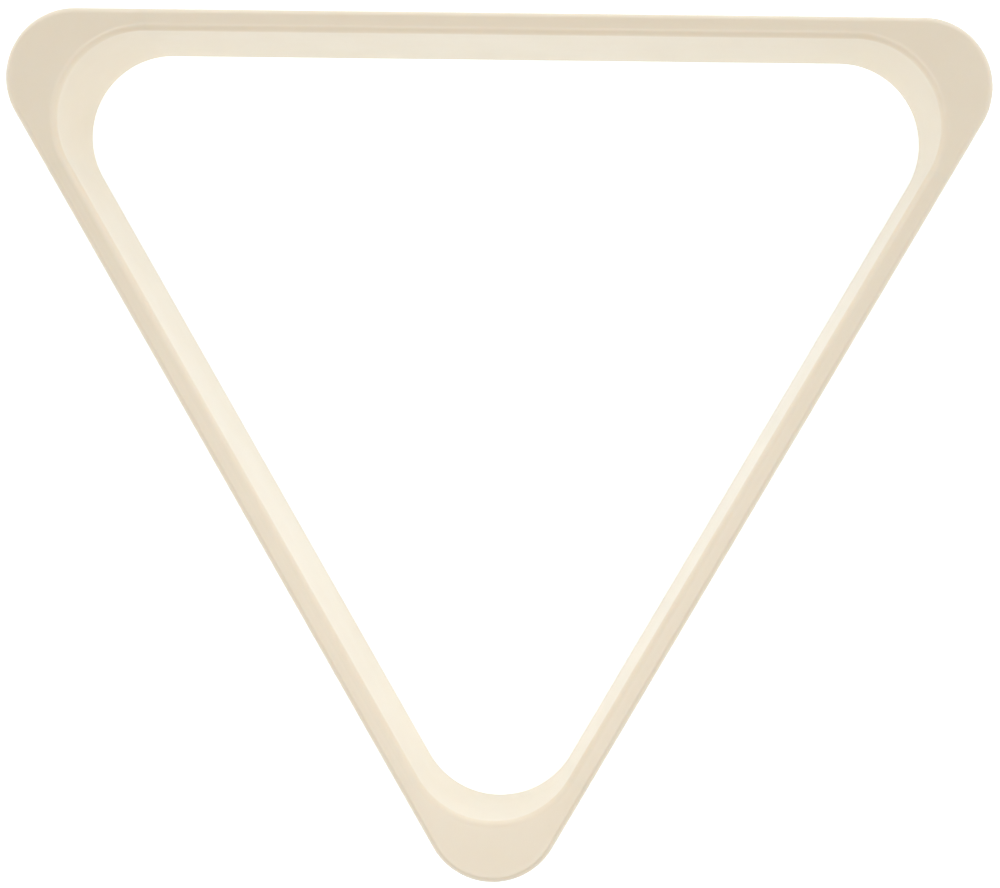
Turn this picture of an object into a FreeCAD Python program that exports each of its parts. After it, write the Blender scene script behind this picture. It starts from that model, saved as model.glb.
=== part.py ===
"""A triangle rack for fifteen pool balls, moulded in one plastic.

The rack lies flat. The moulding is a closed channel: two thin walls joined by a skin
on top, open underneath, with ribs inside. It is divided into three straight rails and
three corners, which meet face to face where the ball side starts to curve.
"""

import FreeCAD, Part
import math
import os

os.makedirs("parts", exist_ok=True)

# Driving dimensions, in millimetres and degrees.
BALL_DIAMETER = 57.15       # standard pool ball
BALLS_PER_SIDE = 5
BALL_PLAY = 0.45            # gap between the packed balls and each wall, at the base
HEIGHT = 50.0
RAIL_TOP_WIDTH = 7.1        # across a rail's top, before its edges are rounded
INNER_CORNER_RADIUS = 28.3  # plan radius of the ball side at the base
OUTER_CORNER_RADIUS = 22.6  # plan radius of the outside at the top
INNER_DRAFT = 0.3           # how far the ball side leans back from base to top
OUTER_DRAFT = 0.8           # how far the outside leans in from base to top
WALL = 2.0
TOP_SKIN = 2.6
TOP_OUTER_ROUND = 2.0
TOP_INNER_ROUND = 2.4
FOOT_ROUND = 0.4            # on the outermost and innermost edges of the base
RIB_THICKNESS = 1.4
RIB_LIFT = 3.0              # the ribs stop this far above the base
RIBS_PER_RAIL = 5
CORNER_RIB_TURNS = (-36.0, 0.0, 36.0)   # from the corner's own middle line

# The outer balls' centres lie on a triangle, and the ball side is one radius outside it.
ball_side_inradius = (
    (BALLS_PER_SIDE - 1) * BALL_DIAMETER / (2 * math.sqrt(3))
    + BALL_DIAMETER / 2
    + BALL_PLAY
)

# An outline is a pair: the triangle's inradius, and the radius that rounds its corners.
inner_base = (ball_side_inradius, INNER_CORNER_RADIUS)
inner_top = (inner_base[0] + INNER_DRAFT, inner_base[1] + INNER_DRAFT)
outer_top = (inner_top[0] + RAIL_TOP_WIDTH, OUTER_CORNER_RADIUS)
outer_base = (outer_top[0] + OUTER_DRAFT, outer_top[1] + OUTER_DRAFT)

rail_half_length = math.sqrt(3) * (inner_base[0] - inner_base[1])
corner_arc_distance = 2 * (inner_base[0] - inner_base[1])

# The origin is the middle of the base's box, so the triangle's own centre is off it.
triangle_centre = FreeCAD.Vector(0, (outer_base[0] - outer_base[1]) / 2, 0)

# Which way each rail faces outwards and each corner points, in plan.
RAILS = {"back_rail": 90.0, "left_rail": 210.0, "right_rail": 330.0}
CORNERS = {"left_corner": 150.0, "apex_corner": 270.0, "right_corner": 30.0}


def direction(degrees):
    """Unit vector in plan."""
    angle = math.radians(degrees)
    return FreeCAD.Vector(math.cos(angle), math.sin(angle), 0)


def offset(outline, distance):
    """The parallel outline at a distance, outwards if it is positive."""
    return (outline[0] + distance, outline[1] + distance)


def at_height(base, top, z):
    """The outline at height z between the base's and the top's."""
    share = z / HEIGHT
    return tuple(low + (high - low) * share for low, high in zip(base, top))


def rounded_triangle(outline, z):
    """Closed wire: three corner arcs joined by three straight sides."""
    inradius, radius = outline
    arcs = []
    for corner in CORNERS.values():
        centre = direction(corner) * (2 * (inradius - radius)) + FreeCAD.Vector(0, 0, z)
        ends = [centre + direction(corner + turn) * radius for turn in (-60, 0, 60)]
        arcs.append(Part.Arc(*ends).toShape())
    edges = []
    for index, arc in enumerate(arcs):
        following = arcs[(index + 1) % len(arcs)]
        edges.append(arc)
        edges.append(Part.makeLine(arc.lastVertex().Point, following.firstVertex().Point))
    return Part.Wire(edges)


def drafted_block(base, top, z_low, z_high):
    """Solid between two heights inside an outline that follows its draft."""
    wires = [rounded_triangle(at_height(base, top, z), z) for z in (z_low, z_high)]
    return Part.makeLoft(wires, True, True)


def edges_on(shape, outline, z):
    """The shape's edges that lie on an outline at height z."""
    wire = rounded_triangle(outline, z)
    found = []
    for edge in shape.Edges:
        middle = edge.valueAt((edge.FirstParameter + edge.LastParameter) / 2)
        if wire.distToShape(Part.Vertex(middle))[0] < 1e-3:
            found.append(edge)
    return found


def solid_ring():
    """The whole ring with its edges rounded, before it is hollowed."""
    outside = drafted_block(outer_base, outer_top, 0, HEIGHT)
    ring = outside.cut(drafted_block(inner_base, inner_top, 0, HEIGHT))
    ring = ring.makeFillet(TOP_OUTER_ROUND, edges_on(ring, outer_top, HEIGHT))
    ring = ring.makeFillet(TOP_INNER_ROUND, edges_on(ring, inner_top, HEIGHT))
    ring = ring.makeFillet(FOOT_ROUND, edges_on(ring, outer_base, 0))
    return ring.makeFillet(FOOT_ROUND, edges_on(ring, inner_base, 0))


def channel():
    """The space between the two walls, which opens through the base."""
    z_low, z_high = -FOOT_ROUND, HEIGHT - TOP_SKIN
    within_outer_wall = drafted_block(
        offset(outer_base, -WALL), offset(outer_top, -WALL), z_low, z_high
    )
    up_to_inner_wall = drafted_block(
        offset(inner_base, WALL), offset(inner_top, WALL), z_low, z_high
    )
    return within_outer_wall.cut(up_to_inner_wall)


def rib_plate(start, outward):
    """An upright plate that runs outwards from a point, past the outer wall."""
    plate = Part.makeBox(
        outer_base[0],
        RIB_THICKNESS,
        HEIGHT - RIB_LIFT,
        FreeCAD.Vector(0, -RIB_THICKNESS / 2, RIB_LIFT),
    )
    plate.rotate(FreeCAD.Vector(0, 0, 0), FreeCAD.Vector(0, 0, 1), outward)
    plate.translate(start)
    return plate


def rib_plates():
    """Ribs straight across each rail, and a fan of ribs in each corner."""
    plates = []
    pitch = 2 * rail_half_length / RIBS_PER_RAIL
    for outward in RAILS.values():
        for index in range(RIBS_PER_RAIL):
            along = (index - (RIBS_PER_RAIL - 1) / 2) * pitch
            start = direction(outward) * (inner_base[0] / 2)
            plates.append(rib_plate(start + direction(outward + 90) * along, outward))
    for corner in CORNERS.values():
        for turn in CORNER_RIB_TURNS:
            start = direction(corner) * corner_arc_distance
            plates.append(rib_plate(start, corner + turn))
    return plates


def rail_zone(outward):
    """A block that holds one rail and ends where the ball side starts to curve."""
    zone = Part.makeBox(
        outer_base[0],
        2 * rail_half_length,
        2 * HEIGHT,
        FreeCAD.Vector(inner_base[0] / 2, -rail_half_length, -HEIGHT / 2),
    )
    zone.rotate(FreeCAD.Vector(0, 0, 0), FreeCAD.Vector(0, 0, 1), outward)
    return zone


def sections():
    """The solid of each rail and each corner, by name, about the triangle's centre."""
    space = channel()
    for plate in rib_plates():
        space = space.cut(plate)
    moulding = solid_ring().cut(space)
    pieces = {}
    corners = moulding
    for name, outward in RAILS.items():
        zone = rail_zone(outward)
        pieces[name] = moulding.common(zone)
        corners = corners.cut(zone)
    for name, corner in CORNERS.items():
        towards = direction(corner)
        pieces[name] = max(corners.Solids, key=lambda solid: solid.CenterOfMass.dot(towards))
    return pieces


for name, shape in sections().items():
    if len(shape.Solids) != 1 or not shape.isValid():
        raise RuntimeError(name + " is not one valid solid")
    piece = shape.Solids[0].removeSplitter()
    piece.translate(triangle_centre)
    piece.exportStep("parts/" + name + ".step")
    print(name, "%.0f mm3" % piece.Volume, piece.optimalBoundingBox(False, False))
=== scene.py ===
"""Looks of the triangle rack: one ivory plastic moulding, seen from almost straight above.

The mesh of each rail and corner is lofted from the same cross-section: two drafted walls,
a rounded top land, rounded feet and the ribbed channel underneath. Neighbours share their
end section exactly, so the six pieces read as one moulding.
"""

import math

import bpy
from mathutils import Euler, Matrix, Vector


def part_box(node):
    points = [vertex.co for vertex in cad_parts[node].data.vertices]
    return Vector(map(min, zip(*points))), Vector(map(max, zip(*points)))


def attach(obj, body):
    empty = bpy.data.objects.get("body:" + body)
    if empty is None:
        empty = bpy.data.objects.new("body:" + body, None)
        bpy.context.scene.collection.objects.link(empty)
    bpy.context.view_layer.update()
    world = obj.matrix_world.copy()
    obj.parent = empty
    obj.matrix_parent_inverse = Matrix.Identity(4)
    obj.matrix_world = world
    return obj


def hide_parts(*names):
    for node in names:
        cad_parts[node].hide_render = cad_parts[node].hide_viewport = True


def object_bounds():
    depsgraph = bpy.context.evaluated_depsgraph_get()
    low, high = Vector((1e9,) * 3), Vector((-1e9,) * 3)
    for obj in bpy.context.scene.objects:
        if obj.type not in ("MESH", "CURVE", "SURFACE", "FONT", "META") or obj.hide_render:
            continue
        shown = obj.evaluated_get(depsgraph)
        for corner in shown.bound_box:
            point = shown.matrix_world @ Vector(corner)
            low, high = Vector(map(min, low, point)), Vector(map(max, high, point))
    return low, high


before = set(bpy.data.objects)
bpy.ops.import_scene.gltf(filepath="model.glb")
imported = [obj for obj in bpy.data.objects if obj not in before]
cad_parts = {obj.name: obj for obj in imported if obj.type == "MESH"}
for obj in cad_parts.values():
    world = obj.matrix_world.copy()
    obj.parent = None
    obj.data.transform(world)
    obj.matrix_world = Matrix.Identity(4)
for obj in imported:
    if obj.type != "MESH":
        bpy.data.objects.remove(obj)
cad_low, cad_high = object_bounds()

MM = 0.001

# ---------------------------------------------------------------- sizes of the moulding

INNER_DRAFT = 0.3 * MM      # how far the ball side leans back from base to top
OUTER_DRAFT = 0.8 * MM      # how far the outside leans in from base to top
WALL = 2.0 * MM
TOP_SKIN = 2.6 * MM
TOP_OUTER_ROUND = 2.0 * MM
TOP_INNER_ROUND = 2.4 * MM
FOOT_ROUND = 0.4 * MM
LIP_ROUND = 0.25 * MM       # inside edges of the two feet
ROOT_ROUND = 0.7 * MM       # where the channel's walls meet its ceiling
LAND_CROWN = 0.05 * MM      # the land stands this much higher along its middle
RIB_THICKNESS = 1.4 * MM
RIB_LIFT = 3.0 * MM         # the ribs stop this far above the base
RIB_BITE_IN = 0.4 * MM      # how far a rib's foot runs into the ball side's wall
RIB_BITE_OUT = 0.2 * MM     # and into the outer wall, which leans in over the rib
RIBS_PER_RAIL = 5
CORNER_RIB_TURNS = (-36.0, 0.0, 36.0)   # from the corner's own middle line, in degrees

# Which way each rail faces outwards and each corner points, in degrees.
RAILS = {"back_rail": 90.0, "left_rail": 210.0, "right_rail": 330.0}
CORNERS = {"left_corner": 150.0, "apex_corner": 270.0, "right_corner": 30.0}
HALF_CORNER = 60            # degrees that a corner turns either side of its middle line

# How many faces each length, round and flat is divided into.
RAIL_STEPS = 44
CORNER_STEPS = 56
WALL_STEPS = 12
LAND_STEPS = 10
TOP_OUTER_STEPS = 12
TOP_INNER_STEPS = 10
FOOT_STEPS = 4
LIP_STEPS = 3
CHANNEL_STEPS = 6
CEILING_STEPS = 5
ROOT_STEPS = 4
RIB_ROUND_STEPS = 8

TOP_WEAR = 1.0              # how much the hands and the cloth polish each edge
FOOT_WEAR = 0.7


def outer_outline():
    """Inradius and corner radius of the base's outside, from the size of the frame's box.

    The box's depth is 3 * inradius - radius, and half its width is
    sqrt(3) * (inradius - radius) + radius.
    """
    half_width = (cad_high.x - cad_low.x) / 2
    depth = cad_high.y - cad_low.y
    root = math.sqrt(3)
    inradius = (half_width - depth * (root - 1)) / (3 - 2 * root)
    return inradius, 3 * inradius - depth


HEIGHT = cad_high.z - cad_low.z
OUTER_INRADIUS, OUTER_RADIUS = outer_outline()
CENTRE = Vector((0, cad_high.y - OUTER_INRADIUS, cad_low.z))

rail_low, rail_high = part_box("back_rail")
RAIL_HALF_LENGTH = (rail_high.x - rail_low.x) / 2
INNER_INRADIUS = rail_low.y - CENTRE.y
INNER_RADIUS = INNER_INRADIUS - RAIL_HALF_LENGTH / math.sqrt(3)


def direction(degrees):
    """Unit vector in plan."""
    angle = math.radians(degrees)
    return Vector((math.cos(angle), math.sin(angle), 0))


# ---------------------------------------------------------------- stations round the ring
# A station is (inner point, inner normal, outer point, outer normal), all at the base.


def rail_stations(outward):
    """Stations along one straight rail, anticlockwise."""
    normal = direction(outward)
    along = direction(outward + 90)
    found = []
    for step in range(RAIL_STEPS + 1):
        shift = along * RAIL_HALF_LENGTH * (2 * step / RAIL_STEPS - 1)
        inner = CENTRE + normal * INNER_INRADIUS + shift
        outer = CENTRE + normal * OUTER_INRADIUS + shift
        found.append((inner, normal, outer, normal))
    return found


def arc_centre(corner, inradius, radius):
    """Centre of the arc that rounds a corner of a triangle outline."""
    return CENTRE + direction(corner) * 2 * (inradius - radius)


def outside_on_ray(corner, start, ray_angle):
    """Where a ray meets the outside near a corner, and the outside's normal there.

    That is on the corner's arc, or past the arc's end on the straight side.
    """
    ray = direction(ray_angle)
    centre = arc_centre(corner, OUTER_INRADIUS, OUTER_RADIUS)
    to_centre = centre - start
    middle = to_centre.dot(ray)
    reach = middle + math.sqrt(middle**2 - to_centre.length_squared + OUTER_RADIUS**2)
    normal = (start + ray * reach - centre).normalized()
    if normal.dot(direction(corner)) >= math.cos(math.radians(HALF_CORNER)):
        return start + ray * reach, normal
    normal = direction(corner + math.copysign(HALF_CORNER, ray_angle - corner))
    reach = (OUTER_INRADIUS - (start - CENTRE).dot(normal)) / ray.dot(normal)
    return start + ray * reach, normal


def corner_stations(corner):
    """Stations round one corner, on rays from the centre of the ball side's arc."""
    start = arc_centre(corner, INNER_INRADIUS, INNER_RADIUS)
    found = []
    for step in range(CORNER_STEPS + 1):
        angle = corner + HALF_CORNER * (2 * step / CORNER_STEPS - 1)
        outer, outer_normal = outside_on_ray(corner, start, angle)
        ray = direction(angle)
        found.append((start + ray * INNER_RADIUS, ray, outer, outer_normal))
    return found


# ---------------------------------------------------------------- the cross-section
# A row is (side, offset, z, plan part of the normal, upward part of the normal, wear).
# Offsets are from that side's outline at the base, away from the triangle's centre.
# A row whose side is "bridge" lies a share of the way between the rows either side of it.


def wall_offset(side, z):
    """How far a drafted wall has leaned at height z."""
    lean = INNER_DRAFT if side == "inner" else -OUTER_DRAFT
    return lean * z / HEIGHT


def arc_rows(side, offset, z, radius, angles, steps, wear=0.0, hollow=False):
    """Rows on an arc about a centre. Angle 0 is away from the triangle, and 90 is up.

    A hollow arc has the plastic outside it, as the channel's upper corners do.
    """
    facing = -1 if hollow else 1
    rows = []
    for step in range(steps + 1):
        angle = math.radians(angles[0] + (angles[1] - angles[0]) * step / steps)
        away, up = math.cos(angle), math.sin(angle)
        place = (side, offset + radius * away, z + radius * up)
        rows.append((*place, facing * away, facing * up, wear))
    return rows


def wall_rows(side, shift, heights, steps, facing):
    """Rows on a drafted wall between two heights, without its two ends.

    Facing is 1 for a face turned away from the triangle's centre and -1 for one towards it.
    """
    lean = wall_offset(side, HEIGHT) / HEIGHT
    rows = []
    for step in range(1, steps):
        z = heights[0] + (heights[1] - heights[0]) * step / steps
        rows.append((side, wall_offset(side, z) + shift, z, facing, -facing * lean, 0.0))
    return rows


def bridge_rows(steps, z, crown, facing):
    """Rows that cross from one side to the other, level but for a slight crown."""
    return [("bridge", step / steps, z, crown, facing, 0.0) for step in range(1, steps)]


def section_rows():
    """The closed cross-section: up the outside, over the land, down, and round the channel."""
    shoulder = HEIGHT - TOP_OUTER_ROUND
    brow = HEIGHT - TOP_INNER_ROUND
    ceiling = HEIGHT - TOP_SKIN
    root = ceiling - ROOT_ROUND
    outer_root = wall_offset("outer", root) - WALL - ROOT_ROUND
    inner_root = wall_offset("inner", root) + WALL + ROOT_ROUND
    return [
        *arc_rows("outer", -FOOT_ROUND, FOOT_ROUND, FOOT_ROUND,
                  (-90, 0), FOOT_STEPS, FOOT_WEAR),
        *wall_rows("outer", 0, (FOOT_ROUND, shoulder), WALL_STEPS, 1),
        *arc_rows("outer", wall_offset("outer", shoulder) - TOP_OUTER_ROUND, shoulder,
                  TOP_OUTER_ROUND, (0, 90), TOP_OUTER_STEPS, TOP_WEAR),
        *bridge_rows(LAND_STEPS, HEIGHT, LAND_CROWN, 1),
        *arc_rows("inner", wall_offset("inner", brow) + TOP_INNER_ROUND, brow,
                  TOP_INNER_ROUND, (90, 180), TOP_INNER_STEPS, TOP_WEAR),
        *wall_rows("inner", 0, (brow, FOOT_ROUND), WALL_STEPS, -1),
        *arc_rows("inner", FOOT_ROUND, FOOT_ROUND, FOOT_ROUND,
                  (180, 270), FOOT_STEPS, FOOT_WEAR),
        *arc_rows("inner", WALL - LIP_ROUND, LIP_ROUND, LIP_ROUND, (-90, 0), LIP_STEPS),
        *wall_rows("inner", WALL, (LIP_ROUND, root), CHANNEL_STEPS, 1),
        *arc_rows("inner", inner_root, root, ROOT_ROUND, (180, 90), ROOT_STEPS, hollow=True),
        *bridge_rows(CEILING_STEPS, ceiling, 0, -1),
        *arc_rows("outer", outer_root, root, ROOT_ROUND, (90, 0), ROOT_STEPS, hollow=True),
        *wall_rows("outer", -WALL, (root, LIP_ROUND), CHANNEL_STEPS, -1),
        *arc_rows("outer", LIP_ROUND - WALL, LIP_ROUND, LIP_ROUND, (180, 270), LIP_STEPS),
    ]


SECTION = section_rows()


def section_at(station):
    """The cross-section's points, normals and wear at one station."""
    inner, inner_normal, outer, outer_normal = station
    points, normals = [], []
    for side, offset, z, plan, up, _ in SECTION:
        if side == "bridge":
            points.append(None)
            normals.append(None)
            continue
        base, away = (inner, inner_normal) if side == "inner" else (outer, outer_normal)
        points.append(base + away * offset + Vector((0, 0, z)))
        normals.append((away * plan + Vector((0, 0, up))).normalized())
    for index, (side, share, z, crown, facing, _) in enumerate(SECTION):
        if side != "bridge":
            continue
        first, last = index, index
        while SECTION[first][0] == "bridge":
            first -= 1
        while SECTION[last][0] == "bridge":
            last += 1
        across = points[last] - points[first]
        turn = 2 * math.pi * share
        points[index] = points[first] + across * share
        points[index].z += crown * (1 - math.cos(turn)) / 2
        slope = across.normalized() * (crown * math.pi * math.sin(turn) / across.length)
        normals[index] = (Vector((0, 0, facing)) - slope).normalized()
    return points, normals


# ---------------------------------------------------------------- meshes


def loft(stations):
    """Vertices, faces, corner normals and wear of a closed length of the moulding."""
    count = len(SECTION)
    vertices, vertex_normals = [], []
    for station in stations:
        points, normals = section_at(station)
        vertices += points
        vertex_normals += normals
    faces, corner_normals = [], []
    for ring in range(len(stations) - 1):
        for row in range(count):
            after = (row + 1) % count
            low, high = ring * count, (ring + 1) * count
            face = (low + row, high + row, high + after, low + after)
            faces.append(face)
            corner_normals += [vertex_normals[index] for index in face]
    last = (len(stations) - 1) * count
    ends = (range(count), [last + row for row in reversed(range(count))])
    for end, sign, station in zip(ends, (-1, 1), (stations[0], stations[-1])):
        inner_normal = station[1]
        facing = Vector((-inner_normal.y, inner_normal.x, 0)) * sign
        faces.append(tuple(end))
        corner_normals += [facing] * count
    wear = [row[5] for row in SECTION] * len(stations)
    return vertices, faces, corner_normals, wear


def add_rib(mesh_data, start, ray, reach_in, reach_out):
    """Adds one upright rib with a rounded lower edge, across the channel along a ray.

    Its top runs into the top skin, as its ends run into the walls.
    """
    vertices, faces, corner_normals, wear = mesh_data
    across = Vector((-ray.y, ray.x, 0))
    radius = RIB_THICKNESS / 2
    crest = HEIGHT - TOP_SKIN + RIB_BITE_IN
    profile = [(radius, crest, 1, 0), (-radius, crest, -1, 0)]
    for step in range(RIB_ROUND_STEPS + 1):
        angle = math.pi + math.pi * step / RIB_ROUND_STEPS
        away, up = math.cos(angle), math.sin(angle)
        profile.append((radius * away, RIB_LIFT + radius * (1 + up), away, up))
    first = len(vertices)
    normals = []
    for reach in (reach_in, reach_out):
        for side, z, away, up in profile:
            vertices.append(start + ray * reach + across * side + Vector((0, 0, z)))
            normals.append(across * away + Vector((0, 0, up)))
            wear.append(0.0)
    count = len(profile)
    for row in range(count):
        after = (row + 1) % count
        face = (row, after, count + after, count + row)
        faces.append(tuple(first + index for index in face))
        flat_top = row == 0
        corner_normals += [Vector((0, 0, 1)) if flat_top else normals[i] for i in face]
    faces.append(tuple(first + index for index in reversed(range(count))))
    corner_normals += [-ray] * count
    faces.append(tuple(first + count + index for index in range(count)))
    corner_normals += [ray] * count


def build_piece(name, mesh_data, material):
    """Makes the object, with its own normals, and its wear as an attribute of the mesh."""
    vertices, faces, corner_normals, wear = mesh_data
    mesh = bpy.data.meshes.new(name)
    mesh.from_pydata([tuple(v) for v in vertices], [], faces)
    mesh.polygons.foreach_set("use_smooth", [True] * len(faces))
    mesh.normals_split_custom_set([tuple(n) for n in corner_normals])
    layer = mesh.attributes.new("wear", "FLOAT", "POINT")
    layer.data.foreach_set("value", wear)
    mesh.materials.append(material)
    piece = bpy.data.objects.new(name, mesh)
    bpy.context.scene.collection.objects.link(piece)
    return piece


def rail_mesh(outward):
    """One straight rail with its ribs."""
    mesh_data = loft(rail_stations(outward))
    normal, along = direction(outward), direction(outward + 90)
    pitch = 2 * RAIL_HALF_LENGTH / RIBS_PER_RAIL
    for index in range(RIBS_PER_RAIL):
        start = CENTRE + along * (index - (RIBS_PER_RAIL - 1) / 2) * pitch
        reach_in = INNER_INRADIUS + WALL - RIB_BITE_IN
        reach_out = OUTER_INRADIUS - WALL + RIB_BITE_OUT
        add_rib(mesh_data, start, normal, reach_in, reach_out)
    return mesh_data


def corner_mesh(corner):
    """One corner with its fan of ribs."""
    mesh_data = loft(corner_stations(corner))
    start = arc_centre(corner, INNER_INRADIUS, INNER_RADIUS)
    for turn in CORNER_RIB_TURNS:
        outer, outer_normal = outside_on_ray(corner, start, corner + turn)
        ray = direction(corner + turn)
        reach_in = INNER_RADIUS + WALL - RIB_BITE_IN
        reach_out = (outer - start).length - (WALL - RIB_BITE_OUT) / ray.dot(outer_normal)
        add_rib(mesh_data, start, ray, reach_in, reach_out)
    return mesh_data


# ---------------------------------------------------------------- materials


class Nodes:
    """A short way to add and join the nodes of a material or a world."""

    def __init__(self, owner, shader):
        owner.use_nodes = True
        self.tree = owner.node_tree
        self.shader = self.tree.nodes[shader]

    def add(self, kind, inputs=(), **settings):
        node = self.tree.nodes.new(kind)
        for key, value in settings.items():
            setattr(node, key, value)
        for key, value in dict(inputs).items():
            self.give(node.inputs[key], value)
        return node

    def give(self, socket, value):
        """Joins a socket to another node's output, or sets its constant."""
        if isinstance(value, bpy.types.NodeSocket):
            self.tree.links.new(value, socket)
        else:
            socket.default_value = value

    def noise(self, place, scale, detail=2.0, roughness=0.5, distortion=0.0):
        """A noise pattern, with its scale in features per metre."""
        inputs = {"Vector": place, "Scale": scale, "Detail": detail,
                  "Roughness": roughness, "Distortion": distortion}
        return self.add("ShaderNodeTexNoise", inputs).outputs["Fac"]

    def span(self, value, low, high, to_low=0.0, to_high=1.0):
        """A value mapped smoothly from one range to another, and held at its ends."""
        inputs = {"Value": value, "From Min": low, "From Max": high,
                  "To Min": to_low, "To Max": to_high}
        settings = {"interpolation_type": "SMOOTHSTEP"}
        return self.add("ShaderNodeMapRange", inputs, **settings).outputs["Result"]

    def maths(self, operation, *values):
        inputs = dict(enumerate(values))
        return self.add("ShaderNodeMath", inputs, operation=operation).outputs["Value"]

    def blend(self, share, first, second):
        """The first colour, with a share of the second."""
        node = self.add("ShaderNodeMix", data_type="RGBA", blend_type="MIX")
        sockets = {socket.identifier: socket for socket in [*node.inputs, *node.outputs]}
        self.give(sockets["Factor_Float"], share)
        self.give(sockets["A_Color"], first)
        self.give(sockets["B_Color"], second)
        return sockets["Result_Color"]

    def bump(self, height, distance, normal=None):
        """Relief of a pattern that stands this many metres high, over another relief."""
        inputs = {"Height": height, "Distance": distance, "Strength": 1.0}
        if normal is not None:
            inputs["Normal"] = normal
        return self.add("ShaderNodeBump", inputs).outputs["Normal"]


# Colours are linear.
IVORY = (0.834, 0.728, 0.578, 1.0)
IVORY_WARM = (0.820, 0.705, 0.547, 1.0)
IVORY_PALE = (0.856, 0.770, 0.640, 1.0)
DARK_TAN = (0.50, 0.45, 0.36, 1.0)

# The largest share of each second colour.
WARM_SHARE = 0.55
MOTTLE_SHARE = 0.14
SPECK_SHARE = 0.08
WORN_SHARE = 0.12
BASE_DARK_SHARE = 0.20
BASE_DARK_HEIGHTS = (0.3 * MM, 2.2 * MM)     # the darkening towards the base fades out between these heights

ROUGHNESS = (0.30, 0.35)    # from the glossiest patches to the dullest
WORN_POLISH = 0.02          # off the roughness where the edges are worn
SCUFF_ROUGHNESS = 0.03
SCUFF_STRETCH = (1.0, 0.06, 1.0)
SCUFF_TURN = (0, 0, 0.9)    # radians

RIPPLE_RELIEF = 0.060 * MM
PEEL_RELIEF = 0.014 * MM
GRAIN_RELIEF = 0.006 * MM
SCUFF_RELIEF = 0.0015 * MM

# Satin plastic that lets a little light in just under its surface.
PLASTIC = {
    "Subsurface Weight": 0.3,
    "Subsurface Radius": (1.0, 0.75, 0.5),
    "Subsurface Scale": 1.2 * MM,
    "IOR": 1.57,
    "Specular IOR Level": 0.5,
}


def ivory_plastic():
    """Satin ivory moulding: slow colour drift, fine moulded grain, scuffs and worn edges."""
    material = bpy.data.materials.new("ivory_plastic")
    n = Nodes(material, "Principled BSDF")
    place = n.add("ShaderNodeTexCoord").outputs["Object"]
    wear = n.add("ShaderNodeAttribute", attribute_name="wear").outputs["Fac"]
    height = n.add("ShaderNodeSeparateXYZ", {"Vector": place}).outputs["Z"]

    drift = n.span(n.noise(place, 9, 2), 0.35, 0.65)
    mottle = n.span(n.noise(place, 130, 3, 0.6), 0.3, 0.7)
    speck = n.span(n.noise(place, 1100, 2, 0.7), 0.66, 0.74)
    colour = n.blend(n.maths("MULTIPLY", drift, WARM_SHARE), IVORY, IVORY_WARM)
    colour = n.blend(n.maths("MULTIPLY", mottle, MOTTLE_SHARE), colour, IVORY_PALE)
    colour = n.blend(n.maths("MULTIPLY", speck, SPECK_SHARE), colour, DARK_TAN)

    patchy = n.span(n.noise(place, 70, 3, 0.55), 0.35, 0.70)
    worn = n.maths("MULTIPLY", wear, patchy)
    colour = n.blend(n.maths("MULTIPLY", worn, WORN_SHARE), colour, IVORY_PALE)
    # Darker towards the base, in patches, fading out over the lowest couple of millimetres.
    near_base = n.span(height, *BASE_DARK_HEIGHTS, 1.0, 0.0)
    base_dark = n.maths("MULTIPLY", near_base, n.span(n.noise(place, 160, 4, 0.7), 0.4, 0.75))
    colour = n.blend(n.maths("MULTIPLY", base_dark, BASE_DARK_SHARE), colour, DARK_TAN)
    n.give(n.shader.inputs["Base Color"], colour)

    lay = {"Vector": place, "Scale": SCUFF_STRETCH, "Rotation": SCUFF_TURN}
    stretched = n.add("ShaderNodeMapping", lay).outputs["Vector"]
    scuffs = n.span(n.noise(stretched, 900, 3, 0.7, 0.4), 0.60, 0.72)
    gloss = n.span(n.noise(place, 45, 3, 0.6), 0.3, 0.7, *ROUGHNESS)
    gloss = n.maths("SUBTRACT", gloss, n.maths("MULTIPLY", worn, WORN_POLISH))
    gloss = n.maths("ADD", gloss, n.maths("MULTIPLY", scuffs, SCUFF_ROUGHNESS))
    n.give(n.shader.inputs["Roughness"], gloss)

    ripple = n.bump(n.noise(place, 60, 2), RIPPLE_RELIEF)
    peel = n.bump(n.noise(place, 420, 2), PEEL_RELIEF, ripple)
    grain = n.bump(n.noise(place, 2600, 3, 0.6), GRAIN_RELIEF, peel)
    marks = n.bump(scuffs, SCUFF_RELIEF, grain)
    n.give(n.shader.inputs["Normal"], marks)
    for socket, value in PLASTIC.items():
        n.shader.inputs[socket].default_value = value
    return material


# The two greys that the floor drifts between.
FLOOR_COLOUR = (0.90, 0.90, 0.895, 1.0)
FLOOR_SHADE = (0.885, 0.885, 0.88, 1.0)
FLOOR_DRIFT = 0.25          # the largest share of the second grey
FLOOR_GLOW = 0.50           # near the rack
FAR_FLOOR_GLOW = 0.95       # beyond the pool of light, so that the floor meets the horizon
FLOOR_GLOW_RISE = (0.3, 1.6)    # metres from the rack's centre over which the glow rises
FLOOR_GLOW_COLOUR = (0.79, 0.92, 1.0, 1.0)   # cool, against the ivory's warm reflection
FLOOR_HALF = 4.0            # metres


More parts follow.
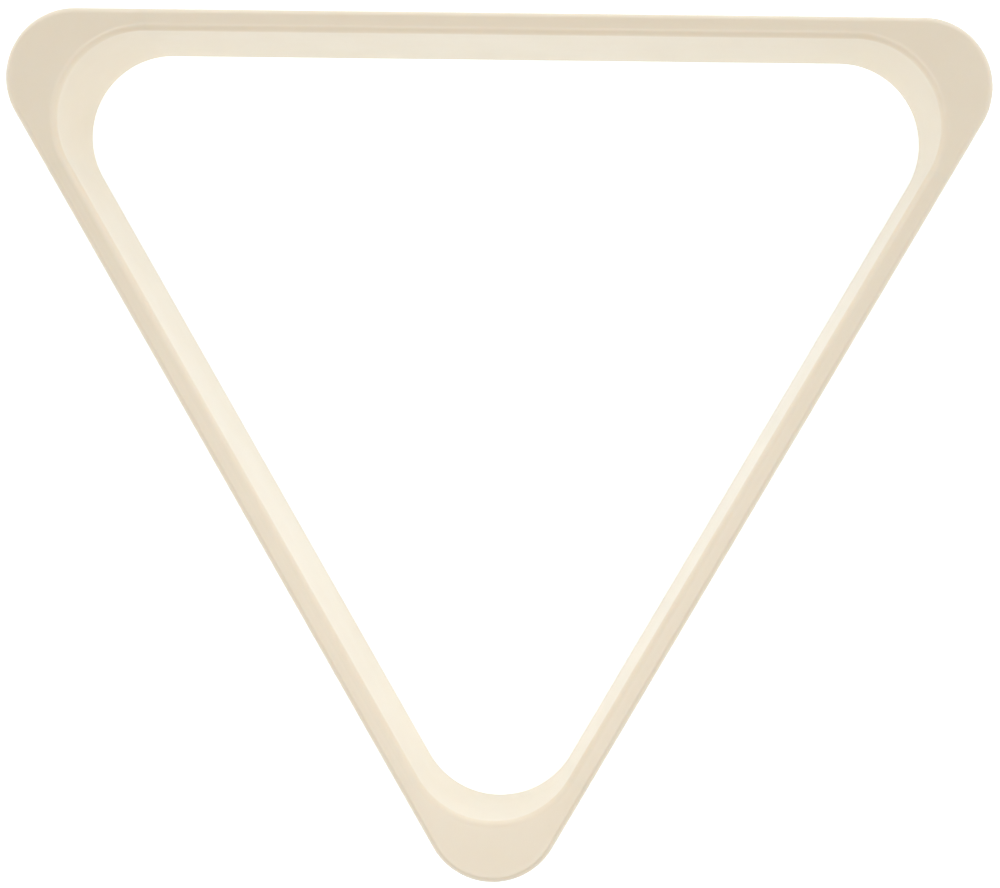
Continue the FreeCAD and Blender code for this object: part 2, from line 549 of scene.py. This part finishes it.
def floor_material():
    """Pale matt studio floor, with a slight glow of its own that keeps it near white."""
    material = bpy.data.materials.new("studio_floor")
    n = Nodes(material, "Principled BSDF")
    place = n.add("ShaderNodeTexCoord").outputs["Object"]
    shade = n.span(n.noise(place, 3, 2), 0.3, 0.7)
    colour = n.blend(n.maths("MULTIPLY", shade, FLOOR_DRIFT), FLOOR_COLOUR, FLOOR_SHADE)
    n.give(n.shader.inputs["Base Color"], colour)
    n.shader.inputs["Roughness"].default_value = 0.85
    n.shader.inputs["Specular IOR Level"].default_value = 0.2
    n.shader.inputs["Emission Color"].default_value = FLOOR_GLOW_COLOUR
    flat = n.add("ShaderNodeVectorMath", {0: place, 1: (1, 1, 0)}, operation="MULTIPLY")
    length = n.add("ShaderNodeVectorMath", {0: flat.outputs["Vector"]}, operation="LENGTH")
    distance = length.outputs["Value"]
    glow = n.span(distance, *FLOOR_GLOW_RISE, FLOOR_GLOW, FAR_FLOOR_GLOW)
    n.give(n.shader.inputs["Emission Strength"], glow)
    return material


# ---------------------------------------------------------------- the six lengths

plastic = ivory_plastic()
plans = {name: rail_mesh(outward) for name, outward in RAILS.items()}
plans.update({name: corner_mesh(corner) for name, corner in CORNERS.items()})
for name, mesh_data in plans.items():
    piece = build_piece(name + "_moulding", mesh_data, plastic)
    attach(piece, "root")
    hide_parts(name)

# ---------------------------------------------------------------- floor, light and camera


def make_floor():
    """A broad square of floor at the level of the rack's base."""
    mesh = bpy.data.meshes.new("floor")
    corners = [(-1, -1), (1, -1), (1, 1), (-1, 1)]
    vertices = [(x * FLOOR_HALF, y * FLOOR_HALF, cad_low.z) for x, y in corners]
    mesh.from_pydata(vertices, [], [(0, 1, 2, 3)])
    mesh.materials.append(floor_material())
    floor = bpy.data.objects.new("floor", mesh)
    bpy.context.scene.collection.objects.link(floor)


HORIZON_GLOW = 1.35
DARK_ABOVE = 0.97           # the upward part of a view's direction at which the glow ends
BACK_LEAN = 0.3             # how much brighter the studio is behind the rack than beside it
GLOW_COLOUR = (0.97, 0.985, 1.0, 1.0)


def make_world():
    """A pale studio all round: bright at the level of the floor, and dark overhead."""
    world = bpy.data.worlds.new("studio")
    bpy.context.scene.world = world
    n = Nodes(world, "Background")
    place = n.add("ShaderNodeTexCoord").outputs["Generated"]
    split = n.add("ShaderNodeSeparateXYZ", {"Vector": place})
    fade = n.span(split.outputs["Z"], 0.0, DARK_ABOVE, HORIZON_GLOW, 0.0)
    lean = n.maths("MULTIPLY_ADD", split.outputs["Y"], BACK_LEAN, 1.0)
    n.give(n.shader.inputs["Strength"], n.maths("MULTIPLY", fade, lean))
    n.shader.inputs["Color"].default_value = GLOW_COLOUR


# Area lights: place and size in metres, power in watts, colour.
SOFTBOXES = {
    "overhead": ((-0.05, -0.25, 1.25), (0.95, 0.75), 6.2, (1.0, 0.985, 0.94)),
    "high_back_left": ((-0.60, 0.90, 1.25), (0.45, 0.45), 2.1, (0.84, 0.93, 1.0)),
    "high_back_right": ((0.60, 0.90, 1.25), (0.45, 0.45), 2.1, (0.84, 0.93, 1.0)),
    "high_left": ((-1.05, 0.25, 1.25), (0.60, 0.60), 1.3, (1.0, 1.0, 1.0)),
    "high_right": ((1.05, 0.25, 1.25), (0.60, 0.60), 2.5, (1.0, 1.0, 1.0)),
}


def make_softbox(name, place, size, power, colour):
    """An area light out of the camera's sight. The overhead one hangs level; others aim."""
    data = bpy.data.lights.new(name, "AREA")
    data.shape = "RECTANGLE"
    data.size, data.size_y = size
    data.energy = power
    data.color = colour
    light = bpy.data.objects.new(name, data)
    light.location = place
    if name != "overhead":
        facing = Vector((0, 0, HEIGHT / 2)) - light.location
        light.rotation_euler = facing.to_track_quat("-Z", "Y").to_euler()
    light.visible_camera = False
    bpy.context.scene.collection.objects.link(light)


SENSOR_WIDTH = 36           # millimetres, as is the lens
LENS = 77.15
CAMERA_SHIFT = (-0.110, 0.026)
CAMERA_PLACE = Vector((34.6, -29.0, 699.9)) * MM    # from the land's level at the centre
CAMERA_TURNS = (-1.406, -0.204, 0.621)              # degrees about X, Y and Z


def make_camera():
    """Looks almost straight down on the rack from a little to the right of its centre."""
    data = bpy.data.cameras.new("camera")
    data.sensor_width = SENSOR_WIDTH
    data.lens = LENS
    data.shift_x, data.shift_y = CAMERA_SHIFT
    camera = bpy.data.objects.new("camera", data)
    camera.location = CENTRE + Vector((0, 0, HEIGHT)) + CAMERA_PLACE
    camera.rotation_euler = Euler([math.radians(turn) for turn in CAMERA_TURNS])
    bpy.context.scene.collection.objects.link(camera)
    bpy.context.scene.camera = camera


make_floor()
make_world()
for name, settings in SOFTBOXES.items():
    make_softbox(name, *settings)
make_camera()
bpy.context.scene.view_settings.view_transform = "Standard"
